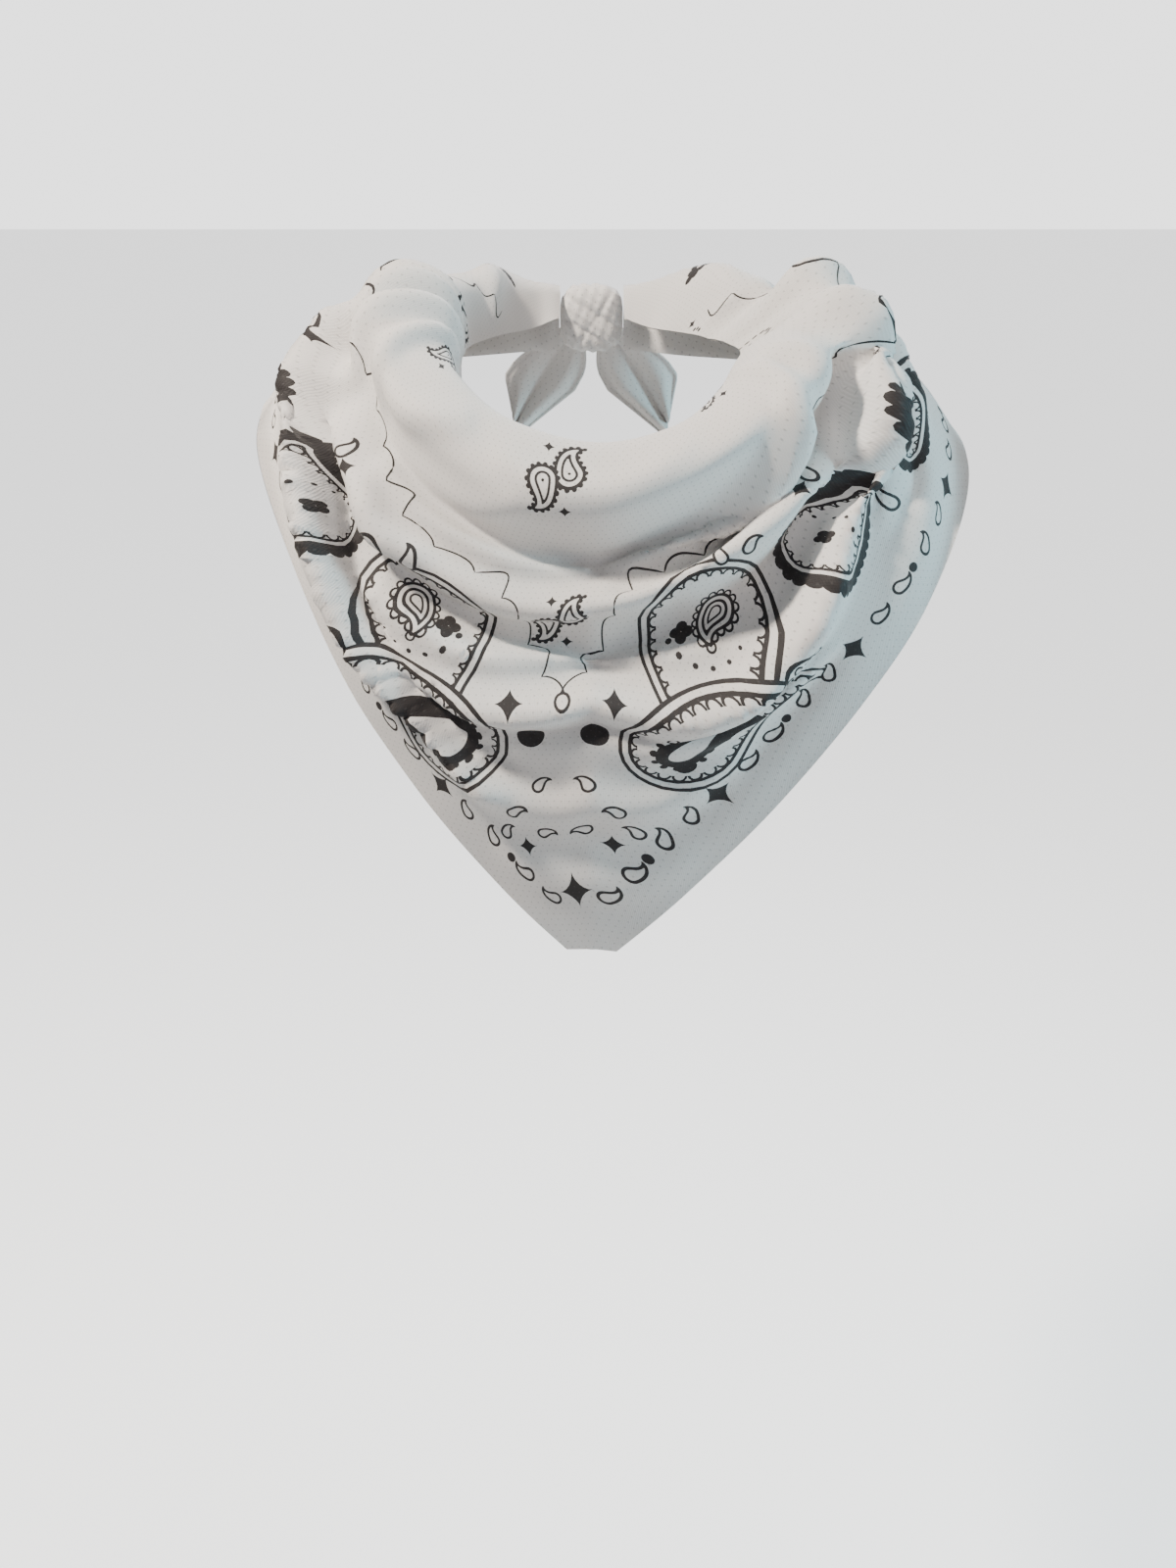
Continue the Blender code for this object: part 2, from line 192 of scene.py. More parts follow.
def slopes(knots, values, first=None):
    """Slopes of a smooth curve through values at uneven knots; first overrides the first slope."""
    step = np.diff(knots)
    rate = np.diff(values, axis=0) / step[:, None]
    out = np.empty_like(values)
    out[0] = rate[0] if first is None else first
    out[-1] = rate[-1]
    before, after = step[:-1, None], step[1:, None]
    out[1:-1] = (rate[:-1] * after + rate[1:] * before) / (before + after)
    return out


def smooth_curve(knots, values, slope, at):
    """Cubic curve through values with the given slopes, read at the places in at."""
    index = np.clip(np.searchsorted(knots, at, side="right") - 1, 0, len(knots) - 2)
    step = (knots[index + 1] - knots[index])[:, None]
    u = ((at - knots[index]) / step[:, 0])[:, None]
    u2, u3 = u * u, u * u * u
    return (values[index] * (2 * u3 - 3 * u2 + 1) + slope[index] * step * (u3 - 2 * u2 + u)
            + values[index + 1] * (3 * u2 - 2 * u3) + slope[index + 1] * step * (u3 - u2))


def ease(x):
    """Smooth step from 0 to 1."""
    x = np.clip(x, 0.0, 1.0)
    return x * x * (3.0 - 2.0 * x)


def ring_points(s_values):
    """The rings' places and their points at each s: an array of rings by s by 3."""
    knots = np.array(STATIONS, float)
    places = np.array([row[1] for row in LEFT_RINGS])
    points = np.empty((len(places), len(s_values), 3))
    for number, (left, right) in enumerate(zip(LEFT_RINGS, RIGHT_RINGS)):
        a = np.array(left[2], float)
        b = np.array(right[2], float)
        half_step = knots[1]
        left_rate, right_rate = (a[1] - a[0]) / half_step, (b[1] - b[0]) / half_step
        across = (right_rate - left_rate) / 2.0
        corner = ease((places[number] - 0.55) / 0.4)
        left_slope = slopes(knots, a, corner * left_rate - (1.0 - corner) * across)
        right_slope = slopes(knots, b, corner * right_rate + (1.0 - corner) * across)
        at = np.abs(s_values)
        on_left = smooth_curve(knots, a, left_slope, at)
        on_right = smooth_curve(knots, b, right_slope, at)
        points[number] = np.where((s_values < 0.0)[:, None], on_left, on_right)
    return places, points


def flat_depth(s_values):
    """Depth of the outer cloth from neckline to sharp hem at each s, and the blunt hem's place."""
    at = np.abs(s_values)
    knots = np.array(STATIONS, float)
    turned = np.interp(at, knots, np.array(TURNED_IN, float))
    depth = HALF_FOLD - at - turned
    blunt = np.maximum(0.0, TIP_BLUNT - at)
    return depth, 1.0 - blunt / depth


def crease_shift(s, depth, outward, down, across):
    """How far the creases move each point; all arguments are grids."""
    shift = np.zeros_like(outward)
    for _, start, middle, end, height, width, lean in CREASES:
        steps = np.linspace(0.0, 1.0, 33)
        p0, p1, p2 = (np.array(p, float) for p in (start, middle, end))
        bend = 2.0 * p1 - 0.5 * (p0 + p2)
        path = ((1 - steps) ** 2)[:, None] * p0 + (2 * steps * (1 - steps))[:, None] * bend
        path += (steps ** 2)[:, None] * p2
        ds = s[..., None] - path[:, 0]
        dt = depth[..., None] - path[:, 1]
        far = np.hypot(ds, dt)
        nearest = np.argmin(far, axis=-1)
        distance = np.take_along_axis(far, nearest[..., None], -1)[..., 0]
        along = steps[nearest]
        taper = np.sin(np.pi * np.clip(0.12 + 0.76 * along, 0, 1)) ** 0.7
        weight = np.exp(-(distance / width) ** 2) * taper
        shift += outward * (height * FOLD_DEPTH * weight)[..., None]
        run = (p2 - p0) / np.hypot(*(p2 - p0))
        shift += (across * (-run[1]) + down * run[0]) * (lean * FOLD_DEPTH * weight)[..., None]
    return shift


def unit(vectors):
    return vectors / np.maximum(np.linalg.norm(vectors, axis=-1, keepdims=True), 1e-9)


def frame_of(points):
    """Outward normals and the two surface directions of a grid of rows by columns."""
    down = np.gradient(points, axis=0)
    across = np.gradient(points, axis=1)
    return unit(np.cross(across, down)), unit(down), unit(across)


def soft_unevenness(s, depth):
    """Small rises and falls of worn jersey, in millimetres."""
    wave = np.sin(s * 0.061 + 0.7) * np.sin(depth * 0.083 + 1.9)
    wave += 0.6 * np.sin(s * 0.113 + depth * 0.047 + 0.4)
    wave += 0.4 * np.sin(s * 0.041 - depth * 0.129 + 2.2)
    return 0.32 * wave


def cubic_weights(u):
    """Weights of the four neighbours of a smooth reading at u between the middle two."""
    u2, u3 = u * u, u * u * u
    return (0.5 * (2 * u2 - u - u3), 0.5 * (2 - 5 * u2 + 3 * u3),
            0.5 * (u + 4 * u2 - 3 * u3), 0.5 * (u3 - u2))


class Drape:
    """The worn surface, read smoothly at any flat place (s, rise), rise being above the point."""

    ROWS = 181
    COLUMNS = 361

    def __init__(self):
        self.s = np.linspace(-KNOT_S, KNOT_S, self.COLUMNS)
        places, rings = ring_points(self.s)
        self.first = places[0]
        grid = np.empty((self.ROWS, self.COLUMNS, 3))
        at = np.linspace(self.first, 1.0, self.ROWS)
        for column in range(self.COLUMNS):
            values = rings[:, column]
            grid[:, column] = smooth_curve(places, values, slopes(places, values), at)
        outward, down, across = frame_of(grid)
        depth = flat_depth(self.s)[0]
        s_grid = np.broadcast_to(self.s, grid.shape[:2])
        depth_grid = at[:, None] * depth[None, :]
        grid += crease_shift(s_grid, depth_grid, outward, down, across)
        grid += outward * soft_unevenness(s_grid, depth_grid)[..., None]
        self.points = grid
        self.outward = frame_of(grid)[0]

    @staticmethod
    def fan(s, place):
        """How much further apart the cloth lies between neckline and hem than at either."""
        fade = np.clip(1.0 - np.abs(s) / FAN_REACH, 0.0, 1.0)
        return 1.0 + FAN * np.sin(np.pi * np.clip(place, 0.0, 1.0)) * fade

    def rise(self, station, place):
        """Height above the sharp point of the flat cloth at a station and place."""
        at = np.abs(station)
        top = HALF_FOLD - np.interp(at, STATIONS, TURNED_IN)
        middle = HALF_FOLD - TURNED_IN[0]
        power = 1.0 + HEM_PULL * np.clip(1.0 - at / HEM_PULL_REACH, 0.0, 1.0)
        share = np.clip(place, 0.0, 1.0) ** power
        return middle * (1.0 - place) + (top - middle) * (1.0 - share) + at * share

    def place(self, s, rise):
        """Station and place of flat points, found by halving."""
        low = np.full(len(s), self.first)
        high = np.full(len(s), 1.0)
        for _ in range(24):
            middle = (low + high) / 2
            above = self.rise(self.station(s, middle), middle) > rise
            low, high = np.where(above, middle, low), np.where(above, high, middle)
        found = (low + high) / 2
        return self.station(s, found), found

    def station(self, s, place):
        """Station of a flat measure: the cloth's middle hangs a little to one side."""
        slant = (1.0 - ease((place - 0.78) / 0.22)) * np.clip(1.0 - np.abs(s) / 220.0, 0.0, 1.0)
        return (s - SIDE_HANG * slant) / self.fan(s, place)

    def read(self, s, rise):
        """Points and outward directions at flat places, in millimetres."""
        station, place = self.place(s, rise)
        column = np.clip((station + KNOT_S) / (2 * KNOT_S), 0, 1) * (self.COLUMNS - 1)
        row = np.clip((place - self.first) / (1 - self.first), 0, 1) * (self.ROWS - 1)
        ci = np.clip(column.astype(int), 0, self.COLUMNS - 2)
        ri = np.clip(row.astype(int), 0, self.ROWS - 2)
        wc, wr = cubic_weights(column - ci), cubic_weights(row - ri)
        points = np.zeros((len(s), 3))
        outward = np.zeros((len(s), 3))
        for i in range(4):
            r = np.clip(ri + i - 1, 0, self.ROWS - 1)
            for j in range(4):
                c = np.clip(ci + j - 1, 0, self.COLUMNS - 1)
                weight = (wr[i] * wc[j])[:, None]
                points += self.points[r, c] * weight
                outward += self.outward[r, c] * weight
        return points, unit(outward)


# ---------------------------------------------------------------- the print, in flat millimetres

class Ink:
    """Closed outlines in flat millimetres, painted in order: 1 is ink and 0 is bare cloth."""

    def __init__(self):
        self.shapes = []

    def add(self, points, ink):
        points = np.asarray(points, float)
        if len(points) > 2:
            self.shapes.append((points, ink))

    def dot(self, centre, radius, ink=1, count=14):
        turn = np.linspace(0, 2 * np.pi, count, endpoint=False)
        self.add(np.stack([centre[0] + radius * np.cos(turn), centre[1] + radius * np.sin(turn)], 1), ink)

    def ring(self, centre, radius, line):
        self.dot(centre, radius + line / 2)
        self.dot(centre, radius - line / 2, 0)

    def star(self, centre, radius, turned=0.0, power=0.62):
        """A four-pointed star with hollow sides."""
        turn = np.linspace(0, 2 * np.pi, 32, endpoint=False)
        x = np.sign(np.cos(turn)) * np.abs(np.cos(turn)) ** (2 / power)
        y = np.sign(np.sin(turn)) * np.abs(np.sin(turn)) ** (2 / power)
        c, n = math.cos(turned), math.sin(turned)
        self.add(np.stack([centre[0] + radius * (c * x - n * y), centre[1] + radius * (n * x + c * y)], 1), 1)

    def stroke(self, path, line):
        """An open line of even width with tapered ends."""
        path = np.asarray(path, float)
        run = np.gradient(path, axis=0)
        run /= np.maximum(np.hypot(run[:, 0], run[:, 1]), 1e-9)[:, None]
        side = np.stack([-run[:, 1], run[:, 0]], 1)
        half = np.full(len(path), line / 2)
        half[0] = half[-1] = line * 0.15
        self.add(np.concatenate([path + side * half[:, None], (path - side * half[:, None])[::-1]]), 1)


class Place:
    """A spot on the print: its centre, its turn, its size and whether it is mirrored."""

    def __init__(self, centre, turned=0.0, size=1.0, flip=1.0):
        self.centre = np.array(centre, float)
        self.turned, self.size, self.flip = turned, size, flip

    def map(self, points):
        points = np.atleast_2d(np.asarray(points, float)) * self.size
        points = points * (self.flip, 1.0)
        c, n = math.cos(self.turned), math.sin(self.turned)
        x = points[:, 0] * c - points[:, 1] * n
        y = points[:, 0] * n + points[:, 1] * c
        return np.stack([x, y], 1) + self.centre


def paisley_outline(head, length, curl, inset=0.0, count=22):
    """A paisley: a round head at the origin and a tail that rises and curls over to +x."""
    u = np.linspace(0.0, 1.0, count)
    bend = curl * u * u
    step = length / (count - 1)
    x = np.concatenate([[0.0], np.cumsum(np.sin(bend[1:]) * step)])
    y = np.concatenate([[0.0], np.cumsum(np.cos(bend[1:]) * step)])
    half = np.maximum(head * (1.0 - u ** 1.35) - inset, 0.0)
    keep = half > 0.0
    keep[0] = True
    last = int(np.argmin(keep)) if not keep.all() else count
    x, y, half, bend = x[:last], y[:last], half[:last], bend[:last]
    left = np.stack([x - half * np.cos(bend), y + half * np.sin(bend)], 1)
    right = np.stack([x + half * np.cos(bend), y - half * np.sin(bend)], 1)
    turn = np.linspace(np.pi, 2 * np.pi, 16)[1:-1]
    cap = np.stack([half[0] * np.cos(turn), half[0] * np.sin(turn)], 1)
    return np.concatenate([left[::-1], cap, right])


def spaced(outline, gap):
    """Points at even gaps along a closed outline."""
    closed = np.concatenate([outline, outline[:1]])
    run = np.concatenate([[0.0], np.cumsum(np.hypot(*np.diff(closed, axis=0).T))])
    count = max(3, int(round(run[-1] / gap)))
    at = np.arange(count) * run[-1] / count
    return np.stack([np.interp(at, run, closed[:, 0]), np.interp(at, run, closed[:, 1])], 1)


def drop(ink, spot, head=3.3, line=1.25):
    """An outlined comma: the small drops of the border rows."""
    ink.add(spot.map(paisley_outline(head, head * 2.9, 1.9)), 1)
    ink.add(spot.map(paisley_outline(head, head * 2.9, 1.9, inset=line)), 0)


def lace(ink, spot, head, length, curl, inset, gap, radius, line):
    """Scallops along the inside of a paisley."""
    for point in spaced(paisley_outline(head, length, curl, inset=inset), gap):
        centre = spot.map(point)[0]
        ink.dot(centre, radius * spot.size, 1, 12)
    for point in spaced(paisley_outline(head, length, curl, inset=inset), gap):
        centre = spot.map(point)[0]
        ink.dot(centre, (radius - line) * spot.size, 0, 12)


def drop_paisley(ink, spot):
    """The large lower paisley: two outlines, lace, and a solid drop with a drop cut out of it."""
    head, length, curl = 24.0, 66.0, 1.7
    for inset, shade in ((0.0, 1), (1.5, 0), (3.6, 1), (5.0, 0)):
        ink.add(spot.map(paisley_outline(head, length, curl, inset=inset)), shade)
    lace(ink, spot, head, length, curl, 7.0, 5.4, 2.7, 0.95)
    ink.add(spot.map(paisley_outline(head, length, curl, inset=7.2)), 0)
    inner = Place(spot.map((0.5, -3.0))[0], spot.turned, spot.size, spot.flip)
    ink.add(inner.map(paisley_outline(9.0, 38.0, 1.5)), 1)
    ink.add(inner.map(paisley_outline(9.0, 30.0, 1.4, inset=4.4)), 0)
    for number in range(7):
        turn = math.pi + number * math.pi / 6
        ink.dot(inner.map((9.6 * math.cos(turn), 9.6 * math.sin(turn)))[0], 1.5 * spot.size, 1, 10)
    ink.ring(inner.map((-9.5, 6.0))[0], 1.9 * spot.size, 1.0 * spot.size)


def dome_paisley(ink, spot, dark=False):
    """The large upper paisley: an outline, lace, dots, a clover and a small petalled paisley."""
    head, length, curl = 27.0, 58.0, 1.5
    if dark:
        for point in spaced(paisley_outline(head, length, curl, inset=0.5), 6.4):
            ink.dot(spot.map(point)[0], 3.6 * spot.size, 1, 12)
        insets = ((0.0, 1), (5.6, 0), (7.8, 1), (9.2, 0))
    else:
        insets = ((0.0, 1), (1.5, 0), (3.6, 1), (5.0, 0))
    for inset, shade in insets:
        ink.add(spot.map(paisley_outline(head, length, curl, inset=inset)), shade)
    rim = insets[-1][0] + 2.0
    lace(ink, spot, head, length, curl, rim, 5.4, 2.8, 0.95)
    ink.add(spot.map(paisley_outline(head, length, curl, inset=rim + 0.3)), 0)
    inner = Place(spot.map((4.0, -3.0))[0], spot.turned + 0.5 * spot.flip, spot.size * 0.34, spot.flip)
    if not dark:
        for point in spaced(paisley_outline(22.0, 40.0, 1.6), 10.0):
            ink.dot(inner.map(point)[0], 5.6 * inner.size, 1, 12)
        for point in spaced(paisley_outline(22.0, 40.0, 1.6), 10.0):
            ink.dot(inner.map(point)[0], 3.2 * inner.size, 0, 12)
        for inset, shade in ((0.0, 1), (3.6, 0), (7.6, 1), (11.0, 0), (14.5, 1), (17.0, 0)):
            ink.add(inner.map(paisley_outline(22.0, 40.0, 1.6, inset=inset)), shade)
    clover(ink, spot.map((-8.0, 6.0) if not dark else (0.0, 2.0))[0], 2.3 * spot.size)
    for number in range(6):
        turn = 0.4 + number * 0.42
        ink.dot(spot.map((15.0 * math.cos(turn), 15.0 * math.sin(turn) + 1.0))[0],
                (0.75 + 0.12 * number) * spot.size, 1, 8)


def clover(ink, centre, radius):
    for turn in (0.0, 1.57, 3.14, 4.71):
        ink.dot((centre[0] + radius * 1.05 * math.cos(turn), centre[1] + radius * 1.05 * math.sin(turn)),
                radius, 1, 12)


def twin_paisleys(ink, centre, turned=0.0):
    """The field's small motif: two beaded paisleys head to tail between two tiny stars."""
    for half in (0.0, math.pi):
        spot = Place((centre[0] + 6.0 * math.cos(half + turned), centre[1] + 6.0 * math.sin(half + turned)),
                     turned + half, 1.25, 1.0)
        for point in spaced(paisley_outline(5.6, 15.0, 2.2), 2.5):
            ink.dot(spot.map(point)[0], 1.15, 1, 8)
        for inset, shade in ((0.0, 1), (1.2, 0), (2.7, 1), (3.6, 0)):
            ink.add(spot.map(paisley_outline(5.6, 15.0, 2.2, inset=inset)), shade)
        ink.dot(spot.map((0.0, 0.3))[0], 0.7, 1, 8)
    for away in (-15.5, 15.5):
        ink.star((centre[0] - away * math.sin(turned), centre[1] + away * math.cos(turned)), 3.2)


def hem_frame(side, along, inward):
    """Flat place of a point along a hem from the point of the cloth, and inward from the hem."""
    return np.array([side * (along - inward) / ROOT2, (along + inward) / ROOT2])


def border_row(ink, side):
    """The row along one hem: star, two drops, dot, two drops, and again."""
    period, inward = 86.0, 17.5
    pattern = ((17.0, "drop"), (33.0, "drop"), (43.5, "dot"), (54.0, "drop"), (70.0, "drop"), (86.0, "star"))
    for repeat in range(6):
        for step, kind in pattern:
            along = inward + repeat * period + step
            if along > 500.0:
                continue
            centre = hem_frame(side, along, inward)
            lean = side * -math.pi / 4
            if kind == "drop":
                drop(ink, Place(centre, lean + side * 0.5 * (-1) ** int(step), 1.0, -side))
            elif kind == "dot":
                ink.dot(centre, 2.2)
            else:
                ink.star(centre, 7.2, lean)


def field_edge(ink, side):
    """The thin bracket line where the field ends, with its bumps and points."""
    inward = 97.0
    along = np.linspace(inward, 470.0, 260)
    wave = (along - inward) / 52.0
    part = wave - np.floor(wave)
    bump = 5.0 * np.abs(np.sin(np.pi * part * 3.0)) ** 0.6 + 5.0 * np.exp(-((part - 0.5) / 0.10) ** 2)
    bump += 25.0 * np.exp(-((along - 168.0) / 36.0) ** 2)
    path = np.array([hem_frame(side, a, inward + b) for a, b in zip(along, bump)])
    for first in range(0, len(path) - 20, 20):
        ink.stroke(path[first:first + 21], 0.85)


def side_motifs(ink, side):
    """The large groups beside the point, the dark domes along the hems, and what fills between."""
    flip = side
    dome_paisley(ink, Place((side * 64.0, 176.0), side * 2.95, 1.16, -flip))
    drop_paisley(ink, Place((side * 50.0, 116.0), side * -0.72, 1.12, flip))
    ink.dot((side * 13.5, 120.0), 6.0, 1, 24)
    ink.star((side * 22.0, 140.0), 6.0)
    for place, turned in (((11.0, 92.0), 0.5), ((23.0, 80.0), 0.9), ((10.0, 68.0), 1.2), ((30.0, 67.0), 0.4)):
        drop(ink, Place((side * place[0], place[1]), side * turned, 0.92, -flip))
    ink.star((side * 20.0, 61.0), 5.0)
    for along, inward, radius in ((108, 38, 4.4), (121, 39, 3.2), (132, 40, 2.4), (141, 41, 1.8)):
        ink.dot(hem_frame(side, along, inward), radius)
    for along in (222.0, 286.0, 362.0, 432.0):
        dome_paisley(ink, Place(hem_frame(side, along, 58.0), side * (-0.9), 0.60, -flip), dark=True)
    for along, inward, turned in ((196, 96, 0.2), (206, 88, -0.5), (250, 84, 0.4), (256, 46, 0.9),
                                  (318, 82, 0.2), (326, 44, -0.4), (396, 80, 0.3), (398, 46, -0.3)):
        drop(ink, Place(hem_frame(side, along, inward), side * turned, 1.05, flip))
    for along in (254.0, 324.0, 398.0):
        ink.dot(hem_frame(side, along, 66.0), 3.0)
        ink.star(hem_frame(side, along - 12.0, 84.0), 5.0, side * 0.8)
    for along in (160.0, 300.0):
        stem = [hem_frame(side, along + 30 * u, 38 + 9 * math.sin(math.pi * u))
                for u in np.linspace(0, 1, 14)]
        ink.stroke(stem, 1.3)
        for u in (0.2, 0.38, 0.56, 0.74, 0.9):
            ink.ring(hem_frame(side, along + 30 * u, 34.5 + 9 * math.sin(math.pi * u)), 2.0, 1.0)


def whole_print():
    """Every motif of the worn half of the square."""
    ink = Ink()
    for side in (-1.0, 1.0):
        field_edge(ink, side)
    for side in (-1.0, 1.0):
        side_motifs(ink, side)
        border_row(ink, side)
    ink.star((0.0, 40.0), 8.6)
    ink.ring((0.0, 140.0), 3.0, 1.2)
    for column in range(-4, 5):
        for row in range(4):
            centre = (column * 82.0 - 3.0, 188.0 + row * 88.0 + 44.0 * (column % 2))
            if centre[1] - abs(centre[0]) > 160.0 and centre[1] < 420.0:
                twin_paisleys(ink, centre, 0.25)
    return ink


def inside(points, outline):
    """Which points lie inside a closed outline."""
    x, y = points[:, 0], points[:, 1]
    found = np.zeros(len(points), bool)
    ax, ay = outline[-1]
    for bx, by in outline:
        crosses = (ay > y) != (by > y)
        if crosses.any():
            reach = (bx - ax) * (y - ay) / (by - ay if by != ay else 1e-12) + ax
            found ^= crosses & (x < reach)
        ax, ay = bx, by
    return found


def flat_cloth(drape, spacing, ink):
    """The worn half of the square, cut into triangles along every edge of its print."""
    points, edges = [], []

    def outline(loop, closed=True):
        base = len(points)
        points.extend(map(tuple, loop))
        count = len(loop)
        edges.extend((base + i, base + (i + 1) % count) for i in range(count if closed else count - 1))

    s = np.linspace(-KNOT_S, KNOT_S, int(2 * KNOT_S / spacing))
    s = np.unique(np.concatenate([s, [-TIP_BLUNT, 0.0, TIP_BLUNT]]))
    low = np.maximum(np.abs(s), TIP_BLUNT)
    high = drape.rise(s, np.full(len(s), drape.first))
    ends = np.linspace(0.0, 1.0, 14)[1:-1]
    right = [(KNOT_S, low[-1] + (high[-1] - low[-1]) * u) for u in ends]
    left = [(-KNOT_S, high[0] + (low[0] - high[0]) * u) for u in ends]
    rim = list(zip(s, low)) + right + list(zip(s[::-1], high[::-1])) + left
    outline(rim)
    for row in np.arange(TIP_BLUNT, HALF_FOLD, spacing):
        shift = spacing / 2 * (round(row / spacing) % 2)
        across = np.arange(-KNOT_S + spacing / 2 + shift, KNOT_S, spacing)
        top = drape.rise(across, np.full(len(across), drape.first))
        keep = (row - np.abs(across) > spacing * 0.4) & (top - row > spacing * 0.4)
        points.extend((x, row) for x in across[keep])
    for inward in (0.9, 2.2, 4.0, 6.5):
        for side in (-1.0, 1.0):
            along = np.arange(inward + 14.0, 500.0, spacing)
            points.extend(tuple(hem_frame(side, a, inward)) for a in along)
    rim_shape = np.array(rim)
    used = []
    for shape, shade in ink.shapes:
        centre = shape.mean(axis=0, keepdims=True)
        if abs(centre[0, 0]) < KNOT_S - 12.0 and inside(shape, rim_shape).all():
            used.append((shape, shade))
            outline(shape)
    verts, _, faces, _, _, _ = delaunay_2d_cdt([Vector(p) for p in points], edges, [], 0, 1e-4)
    verts = np.array([tuple(v) for v in verts])
    faces = np.array([f for f in faces if len(f) == 3])
    centres = verts[faces].mean(axis=1)
    keep = inside(centres, rim_shape)
    faces, centres = faces[keep], centres[keep]
    shade = np.zeros(len(faces))
    order = np.argsort(centres[:, 0])
    sorted_x = centres[order, 0]
    for shape, value in used:
        (x0, y0), (x1, y1) = shape.min(axis=0), shape.max(axis=0)
        some = order[np.searchsorted(sorted_x, x0):np.searchsorted(sorted_x, x1)]
        some = some[(centres[some, 1] >= y0) & (centres[some, 1] <= y1)]
        if len(some):
            shade[some[inside(centres[some], shape)]] = value
    a, b, c = (verts[faces[:, i]] for i in range(3))
    turn = (b[:, 0] - a[:, 0]) * (c[:, 1] - a[:, 1]) - (b[:, 1] - a[:, 1]) * (c[:, 0] - a[:, 0])
    real = np.abs(turn) > 1e-7
    faces[turn < 0] = faces[turn < 0][:, ::-1]
    return verts, faces[real], shade[real], float(np.abs(turn).sum() / 2)


# ---------------------------------------------------------------- materials

def new_group(name, inputs, outputs):
    """An empty shader group with float, colour and vector sockets."""
    group = bpy.data.node_groups.new(name, "ShaderNodeTree")
    for label, kind, value in inputs:
        socket = group.interface.new_socket(label, in_out="INPUT", socket_type=kind)
        if value is not None:
            socket.default_value = value
    for label, kind in outputs:
        group.interface.new_socket(label, in_out="OUTPUT", socket_type=kind)
    return group, group.nodes.new("NodeGroupInput"), group.nodes.new("NodeGroupOutput")


def math_node(group, operation, a, b=None, clamp=False):
    node = group.nodes.new("ShaderNodeMath")
    node.operation = operation
    node.use_clamp = clamp
    for number, value in enumerate((a, b)):
        if value is None:
            continue
        if isinstance(value, (int, float)):
            node.inputs[number].default_value = value
        else:
            group.links.new(value, node.inputs[number])
    return node.outputs[0]


def jersey_group():
    """Mesh jersey: vertical ribs, stitches and staggered pin-holes, as a height and two masks."""
    group, given, made = new_group(
        "Mesh jersey",
        (("Flat place", "NodeSocketVector", None), ("Rib", "NodeSocketFloat", 0.0007),
         ("Hole pitch", "NodeSocketFloat", 0.0034), ("Hole size", "NodeSocketFloat", 0.15)),
        (("Height", "NodeSocketFloat"), ("Hole", "NodeSocketFloat"), ("Rib shade", "NodeSocketFloat")))
    split = group.nodes.new("ShaderNodeSeparateXYZ")
    group.links.new(given.outputs["Flat place"], split.inputs[0])
    x, y = split.outputs[0], split.outputs[1]
    ribs = math_node(group, "MULTIPLY", math_node(group, "DIVIDE", x, given.outputs["Rib"]), 2 * math.pi)
    rib = math_node(group, "SINE", ribs)
    loops = math_node(group, "MULTIPLY", math_node(group, "DIVIDE", y, given.outputs["Rib"]), 2 * math.pi)
    loop = math_node(group, "SINE", math_node(group, "ADD", loops, math_node(group, "ABSOLUTE", rib)))
    height = math_node(group, "ADD", math_node(group, "MULTIPLY", rib, 0.5),
                       math_node(group, "MULTIPLY", loop, 0.25))
    row = math_node(group, "DIVIDE", y, math_node(group, "MULTIPLY", given.outputs["Hole pitch"], 0.8))
    row_number = math_node(group, "FLOOR", row)
    stagger = math_node(group, "MULTIPLY", math_node(group, "MODULO", row_number, 2.0), 0.5)
    column = math_node(group, "ADD", math_node(group, "DIVIDE", x, given.outputs["Hole pitch"]), stagger)
    dx = math_node(group, "SUBTRACT", math_node(group, "FRACT", column), 0.5)
    dy = math_node(group, "MULTIPLY", math_node(group, "SUBTRACT", math_node(group, "FRACT", row), 0.5), 0.8)
    far = math_node(group, "SQRT", math_node(group, "ADD", math_node(group, "MULTIPLY", dx, dx),
                                             math_node(group, "MULTIPLY", dy, dy)))
    share = math_node(group, "DIVIDE", far, given.outputs["Hole size"])
    hole = math_node(group, "SUBTRACT", 1.0, share, True)
    group.links.new(math_node(group, "SUBTRACT", height, math_node(group, "MULTIPLY", hole, 1.6)),
                    made.inputs["Height"])
    group.links.new(hole, made.inputs["Hole"])
    group.links.new(math_node(group, "MULTIPLY_ADD", rib, 0.5), made.inputs["Rib shade"])
    return group


